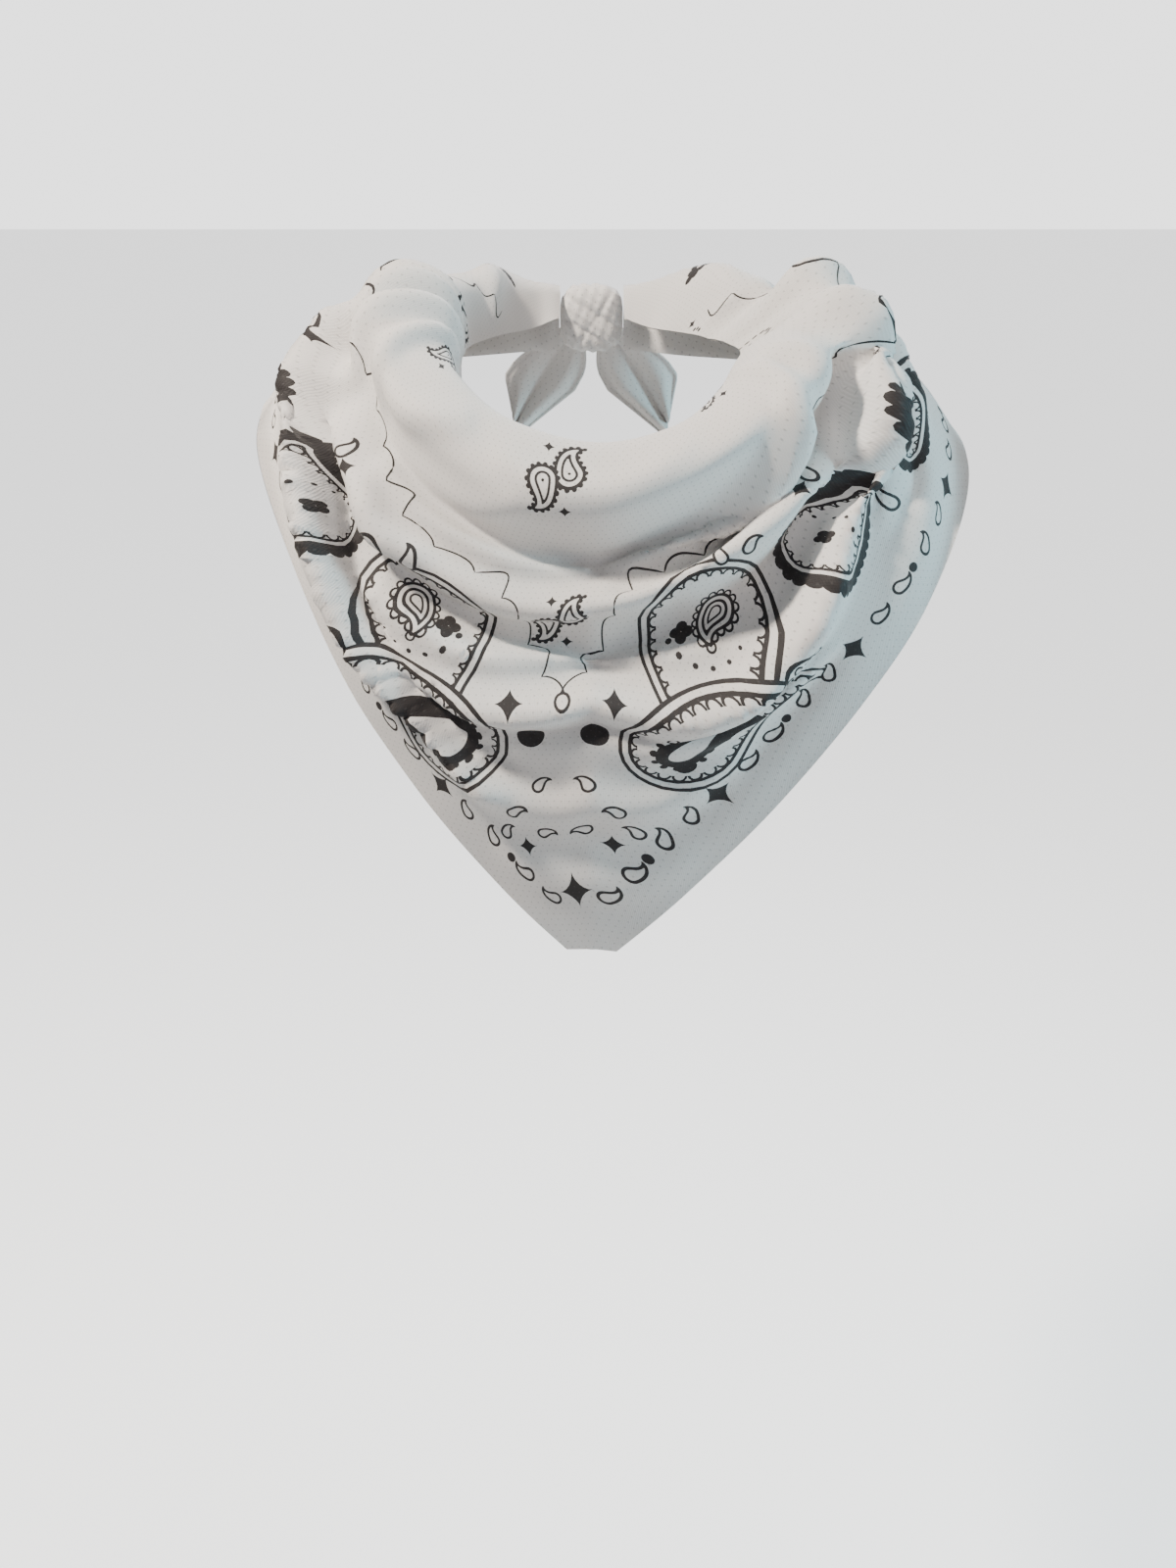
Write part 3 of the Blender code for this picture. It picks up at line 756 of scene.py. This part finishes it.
def jersey_material(name, group, cloth, ink, printed):
    """White mesh jersey, with black ink where the print attribute says so, painted shade in the pinholes of
    the bare cloth and painted light in the pinholes of the ink.
    """
    material = bpy.data.materials.new(name)
    material.use_nodes = True
    tree = material.node_tree
    shader = tree.nodes["Principled BSDF"]
    shader.inputs["Sheen Weight"].default_value = 0.10
    shader.inputs["Sheen Roughness"].default_value = 0.45
    shader.inputs["Specular IOR Level"].default_value = 0.22
    place = tree.nodes.new("ShaderNodeUVMap")
    place.uv_map = "flat"
    knit = tree.nodes.new("ShaderNodeGroup")
    knit.node_tree = group
    tree.links.new(place.outputs[0], knit.inputs["Flat place"])

    def mix(factor, a, b):
        node = tree.nodes.new("ShaderNodeMix")
        node.data_type = "RGBA"
        tree.links.new(factor, node.inputs[0])
        for socket, value in ((node.inputs[6], a), (node.inputs[7], b)):
            if isinstance(value, tuple):
                socket.default_value = value
            else:
                tree.links.new(value, socket)
        return node.outputs[2]

    soft = tree.nodes.new("ShaderNodeTexNoise")
    soft.inputs["Scale"].default_value = 9.0
    tree.links.new(place.outputs[0], soft.inputs["Vector"])
    darker = tuple(c * 0.95 for c in cloth[:3]) + (1.0,)
    base = mix(soft.outputs[0], cloth, darker)
    # Painted shade in the pinholes: the bare cloth turns to 0.45 of its colour where the holes are.
    pinhole_painted_shade = math_node(tree, "MULTIPLY", knit.outputs["Hole"], 0.75, True)
    colour = mix(pinhole_painted_shade, base, tuple(c * 0.45 for c in cloth[:3]) + (1.0,))
    rough = math_node(tree, "MULTIPLY_ADD", knit.outputs["Rib shade"], 0.06)
    tree.nodes[-1].inputs[2].default_value = 0.62
    if printed:
        mark = tree.nodes.new("ShaderNodeAttribute")
        mark.attribute_name = "ink"
        # Painted light in the pinholes of the print: where the holes are, the ink is lifted to 1.5 times its
        # colour plus 0.03. The mix named worn is this painted light, not wear.
        worn = mix(knit.outputs["Hole"], ink, tuple(c * 1.5 + 0.03 for c in ink[:3]) + (1.0,))
        cover = math_node(tree, "MULTIPLY", mark.outputs["Fac"], 0.975)
        colour = mix(cover, colour, worn)
    tree.links.new(colour, shader.inputs["Base Color"])
    tree.links.new(rough, shader.inputs["Roughness"])
    bump = tree.nodes.new("ShaderNodeBump")
    bump.inputs["Strength"].default_value = 0.35
    bump.inputs["Distance"].default_value = 0.00022
    tree.links.new(knit.outputs["Height"], bump.inputs["Height"])
    tree.links.new(bump.outputs[0], shader.inputs["Normal"])
    return material


def shared_materials():
    """The jersey's group and its two materials, made once."""
    settings = bpy.context.scene.bandana_cloth
    if "Mesh jersey" not in bpy.data.node_groups:
        group = jersey_group()
        cloth, ink = tuple(settings.cloth_colour), tuple(settings.ink_colour)
        jersey_material("printed jersey", group, cloth, ink, True)
        jersey_material("plain jersey", group, cloth, ink, False)
    return bpy.data.materials["printed jersey"], bpy.data.materials["plain jersey"]


# ---------------------------------------------------------------- meshes

def new_piece(name, verts, faces, flat, material, ink=None):
    """A smooth mesh in metres, with its flat places as UVs, riding on the one body."""
    mesh = bpy.data.meshes.new(name)
    mesh.from_pydata((verts * MM).tolist(), [], faces.tolist() if hasattr(faces, "tolist") else faces)
    uv = mesh.uv_layers.new(name="flat")
    loops = np.empty(len(mesh.loops), np.int32)
    mesh.loops.foreach_get("vertex_index", loops)
    uv.data.foreach_set("uv", (flat[loops] * MM).astype(np.float32).ravel())
    if ink is not None:
        mark = mesh.attributes.new("ink", "FLOAT", "FACE")
        mark.data.foreach_set("value", ink.astype(np.float32))
    mesh.shade_smooth()
    mesh.materials.append(material)
    piece = bpy.data.objects.new(name, mesh)
    bpy.context.scene.collection.objects.link(piece)
    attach(piece, "root")
    return piece


def rolled_edge(flat, drape):
    """How far the face dips towards the layer below it at the hem, in millimetres."""
    inward = (flat[:, 1] - np.abs(flat[:, 0])) / ROOT2
    blunt = flat[:, 1] - TIP_BLUNT
    inward = np.minimum(inward, np.where(np.abs(flat[:, 0]) < TIP_BLUNT, blunt, inward))
    plump = 0.55 * np.exp(-((inward - 2.6) / 2.0) ** 2)
    tuck = 1.1 * (1.0 - ease(inward / 1.6))
    return plump - tuck


class ClothSettings(bpy.types.PropertyGroup):
    """Sizes and colours of the jersey."""

    spacing: FloatProperty(name="Mesh spacing", description="Distance between the cloth's points",
                           default=0.0032, min=0.002, subtype="DISTANCE", unit="LENGTH")
    layer_gap: FloatProperty(name="Layer gap", description="Distance between the folded square's layers",
                             default=0.0014, subtype="DISTANCE", unit="LENGTH")
    cloth_colour: FloatVectorProperty(name="Cloth", description="Colour of the bare jersey", size=4,
                                      default=(0.80, 0.775, 0.755, 1.0), subtype="COLOR")
    ink_colour: FloatVectorProperty(name="Ink", description="Colour of the print", size=4,
                                    default=(0.012, 0.009, 0.010, 1.0), subtype="COLOR")


class StageSettings(bpy.types.PropertyGroup):
    """The studio round the bandana."""

    lens: FloatProperty(name="Lens", description="Focal length for a 36 mm tall frame", default=42.5)
    floor_drop: FloatProperty(name="Floor drop", description="How far the floor lies below the point",
                              default=0.55, subtype="DISTANCE", unit="LENGTH")
    floor_colour: FloatVectorProperty(name="Floor", description="Colour of the floor", size=4,
                                      default=(0.86, 0.86, 0.86, 1.0), subtype="COLOR")


class BANDANA_OT_cloth(bpy.types.Operator):
    """Makes the two layers of the worn square with their print"""

    bl_idname = "bandana.cloth"
    bl_label = "Worn cloth"

    def execute(self, context):
        settings = context.scene.bandana_cloth
        printed, _ = shared_materials()
        drape = Drape()
        ink = whole_print()
        flat, faces, shade, flat_area = flat_cloth(drape, settings.spacing / MM, ink)
        points, outward = drape.read(flat[:, 0], flat[:, 1])
        face_points = points + outward * rolled_edge(flat, drape)[:, None]
        face = new_piece("bandana_face", face_points, faces, flat, printed, shade)
        gap = settings.layer_gap / MM
        under_points = points - outward * gap
        under = new_piece("bandana_under", under_points, faces[:, ::-1], flat, printed,
                          shade)
        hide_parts("front_drape", "left_wrap", "right_wrap")
        print("cloth", len(faces), "triangles", round(flat_area / 1e6, 4), "m2")
        return {"FINISHED"}


def knot_points(count_round, count_along):
    """A square knot: two plump bights that cross over a tight middle band."""
    low, high = (np.array(v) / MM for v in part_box("knot"))
    middle, half = (low + high) / 2, (high - low) / 2
    turn = np.linspace(0, 2 * np.pi, count_round, endpoint=False)
    pole = np.linspace(0.02, np.pi - 0.02, count_along)
    t, p = np.meshgrid(turn, pole)
    x, y, z = np.cos(p), np.sin(p) * np.cos(t), np.sin(p) * np.sin(t)
    rounding = (np.abs(x) ** 3.4 + np.abs(y) ** 3.4 + np.abs(z) ** 3.4) ** (1 / 3.4)
    x, y, z = x / rounding, y / rounding, z / rounding
    slant = z * 0.9 + x * 0.55
    groove = 0.11 * np.exp(-((slant - 0.22) / 0.10) ** 2) + 0.11 * np.exp(-((slant + 0.42) / 0.10) ** 2)
    groove += 0.05 * np.exp(-((x * 0.9 - z * 0.6 - 0.1) / 0.09) ** 2)
    ripple = 0.018 * np.sin(slant * 26 + y * 3) + 0.012 * np.sin(x * 19 - z * 7)
    body = 0.97 - groove + ripple - 0.02
    return np.stack([middle[0] + half[0] * x * 0.985, middle[1] + half[1] * y * body,
                     middle[2] + half[2] * z * body], -1), turn, pole


class BANDANA_OT_knot(bpy.types.Operator):
    """Makes the square knot behind the neck"""

    bl_idname = "bandana.knot"
    bl_label = "Knot"

    def execute(self, context):
        plain = shared_materials()[1]
        grid, turn, pole = knot_points(128, 72)
        rows, columns = grid.shape[:2]
        faces = [(r * columns + c, r * columns + (c + 1) % columns,
                  (r + 1) * columns + (c + 1) % columns, (r + 1) * columns + c)
                 for r in range(rows - 1) for c in range(columns)]
        faces.append(tuple(range(columns))[::-1])
        faces.append(tuple((rows - 1) * columns + c for c in range(columns)))
        t, p = np.meshgrid(turn, pole)
        flat = np.stack([p.ravel() * 14.0, t.ravel() * 14.0], -1)
        piece = new_piece("bandana_knot", grid.reshape(-1, 3), faces, flat, plain)
        work = bmesh.new()
        work.from_mesh(piece.data)
        bmesh.ops.recalc_face_normals(work, faces=work.faces)
        work.to_mesh(piece.data)
        work.free()
        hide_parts("knot")
        return {"FINISHED"}


def tail_points(side, rows, columns, inset):
    """A corner of the square below the knot, gathered at its top, with soft pleats."""
    low, high = (np.array(v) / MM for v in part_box("left_tail" if side > 0 else "right_tail"))
    u, v = np.meshgrid(np.linspace(0, 1, rows), np.linspace(-1, 1, columns), indexing="ij")
    length = TAIL_LENGTH
    half = (TAIL_ROOT + (TAIL_WIDE - TAIL_ROOT) * ease(u / 0.5)) * np.minimum(1.0, (1 - u) / 0.42 + 0.06)
    x = side * (TAIL_TOP[0] + TAIL_OUT * length * u) + half * v
    y = TAIL_TOP[1] + 5.0 * np.sin(np.pi * u * 0.8) + 2.6 * np.cos(2.2 * np.pi * v) * ease(u * 2.0)
    y = y + 0.9 * np.cos(5.0 * np.pi * v) * (1 - u) * ease(u * 3.0) - inset
    z = TAIL_TOP[2] - length * u * (1.0 - 0.12 * v * side)
    points = np.stack([x, y, z], -1)
    points[..., 0] = np.clip(points[..., 0], low[0], high[0])
    flat = np.stack([half * v, length * u * 1.1], -1)
    return points, flat


class BANDANA_OT_tails(bpy.types.Operator):
    """Makes the two corners that come out of the knot"""

    bl_idname = "bandana.tails"
    bl_label = "Tails"

    def execute(self, context):
        plain = shared_materials()[1]
        rows, columns = 44, 30
        for name, side in (("left_tail", 1.0), ("right_tail", -1.0)):
            outer, flat = tail_points(side, rows, columns, 0.0)
            verts = outer.reshape(-1, 3)
            faces = [(r * columns + c, r * columns + c + 1, (r + 1) * columns + c + 1, (r + 1) * columns + c)
                     for r in range(rows - 1) for c in range(columns - 1)]
            piece = new_piece("bandana_" + name, verts, faces, flat.reshape(-1, 2), plain)
            skin = piece.modifiers.new("two layers", "SOLIDIFY")
            skin.thickness = 0.0012
            skin.offset = 0.0
            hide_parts(name)
        return {"FINISHED"}


def backdrop_glow(tree, shader):
    """Makes the floor pale to the camera without lighting the cloth from below."""
    path = tree.nodes.new("ShaderNodeLightPath")
    glow = tree.nodes.new("ShaderNodeMix")
    glow.data_type = "RGBA"
    glow.inputs[6].default_value = (0.0, 0.0, 0.0, 1.0)
    glow.inputs[7].default_value = (1.0, 1.0, 1.0, 1.0)
    tree.links.new(path.outputs["Is Camera Ray"], glow.inputs[0])
    tree.links.new(glow.outputs[2], shader.inputs["Emission Color"])
    shader.inputs["Emission Strength"].default_value = 1.6


def white_backdrop(tree):
    """Shows a plain white surround and keeps its light on the cloth low."""
    background = tree.nodes["Background"]
    bright = tree.nodes.new("ShaderNodeBackground")
    bright.inputs[0].default_value = (1.0, 1.0, 1.0, 1.0)
    bright.inputs[1].default_value = 2.4
    path = tree.nodes.new("ShaderNodeLightPath")
    blend = tree.nodes.new("ShaderNodeMixShader")
    tree.links.new(path.outputs["Is Camera Ray"], blend.inputs[0])
    tree.links.new(background.outputs[0], blend.inputs[1])
    tree.links.new(bright.outputs[0], blend.inputs[2])
    tree.links.new(blend.outputs[0], tree.nodes["World Output"].inputs["Surface"])


def area_light(name, place, target, size, power, colour):
    light = bpy.data.lights.new(name, "AREA")
    light.shape = "DISK"
    light.size = size
    light.energy = power
    light.color = colour
    lamp = bpy.data.objects.new(name, light)
    lamp.location = place
    lamp.rotation_euler = (Vector(target) - Vector(place)).to_track_quat("-Z", "Y").to_euler()
    bpy.context.scene.collection.objects.link(lamp)


class BANDANA_OT_stage(bpy.types.Operator):
    """Makes the floor, the lights and the camera"""

    bl_idname = "bandana.stage"
    bl_label = "Studio"

    def execute(self, context):
        settings = context.scene.bandana_stage
        low, high = (Vector(v) for v in CAD_BOX)
        mesh = bpy.data.meshes.new("floor")
        reach, level = 12.0, low.z - settings.floor_drop
        mesh.from_pydata([(-reach, -reach, level), (reach, -reach, level), (reach, reach, level),
                          (-reach, reach, level)], [], [(0, 1, 2, 3)])
        floor = bpy.data.objects.new("floor", mesh)
        material = bpy.data.materials.new("floor")
        material.use_nodes = True
        shader = material.node_tree.nodes["Principled BSDF"]
        shader.inputs["Base Color"].default_value = tuple(settings.floor_colour)
        shader.inputs["Roughness"].default_value = 0.9
        backdrop_glow(material.node_tree, shader)
        mesh.materials.append(material)
        context.scene.collection.objects.link(floor)
        world = bpy.data.worlds.new("studio")
        world.use_nodes = True
        world.node_tree.nodes["Background"].inputs[0].default_value = (0.93, 0.95, 1.0, 1.0)
        world.node_tree.nodes["Background"].inputs[1].default_value = 0.10
        white_backdrop(world.node_tree)
        context.scene.world = world
        middle = (0.0, -0.09, -0.11)
        area_light("warm key", (-0.80, -0.38, 0.95), middle, 0.16, 34.0, (1.0, 0.90, 0.78))
        area_light("cool side", (1.0, -0.26, 0.05), middle, 0.25, 9.0, (0.50, 0.88, 1.0))
        area_light("top", (0.15, 0.0, 1.1), middle, 0.30, 5.0, (1.0, 0.96, 0.92))
        area_light("front fill", (0.25, -1.3, -0.1), middle, 0.9, 3.0, (0.93, 0.93, 1.0))
        area_light("back", (0.3, 1.0, 0.6), middle, 0.5, 9.0, (0.92, 0.95, 1.0))
        camera = bpy.data.cameras.new("camera")
        camera.sensor_fit = "VERTICAL"
        camera.sensor_height = 36.0
        camera.lens = settings.lens
        eye = bpy.data.objects.new("camera", camera)
        eye.location = CAMERA_PLACE
        eye.rotation_euler = (math.radians(90.0 - CAMERA_PITCH), 0.0, 0.0)
        context.scene.collection.objects.link(eye)
        context.scene.camera = eye
        return {"FINISHED"}


class BANDANA_PT_panel(bpy.types.Panel):
    """The bandana's makers, in the order they are used"""

    bl_label = "Bandana"
    bl_idname = "BANDANA_PT_panel"
    bl_space_type = "VIEW_3D"
    bl_region_type = "UI"
    bl_category = "Bandana"

    def draw(self, context):
        for settings, names in ((context.scene.bandana_cloth, ("spacing", "layer_gap", "cloth_colour",
                                                               "ink_colour")),
                                (context.scene.bandana_stage, ("lens", "floor_drop", "floor_colour"))):
            for name in names:
                self.layout.prop(settings, name)
        for operator in OPERATORS:
            self.layout.operator(operator.bl_idname)


OPERATORS = (BANDANA_OT_cloth, BANDANA_OT_knot, BANDANA_OT_tails, BANDANA_OT_stage)
CLASSES = (ClothSettings, StageSettings) + OPERATORS + (BANDANA_PT_panel,)


def register():
    for item in CLASSES:
        bpy.utils.register_class(item)
    bpy.types.Scene.bandana_cloth = PointerProperty(type=ClothSettings)
    bpy.types.Scene.bandana_stage = PointerProperty(type=StageSettings)


def unregister():
    del bpy.types.Scene.bandana_stage
    del bpy.types.Scene.bandana_cloth
    for item in reversed(CLASSES):
        bpy.utils.unregister_class(item)


def main():
    register()
    bpy.ops.bandana.cloth()
    bpy.ops.bandana.knot()
    bpy.ops.bandana.tails()
    bpy.ops.bandana.stage()


if __name__ == "__main__":
    main()
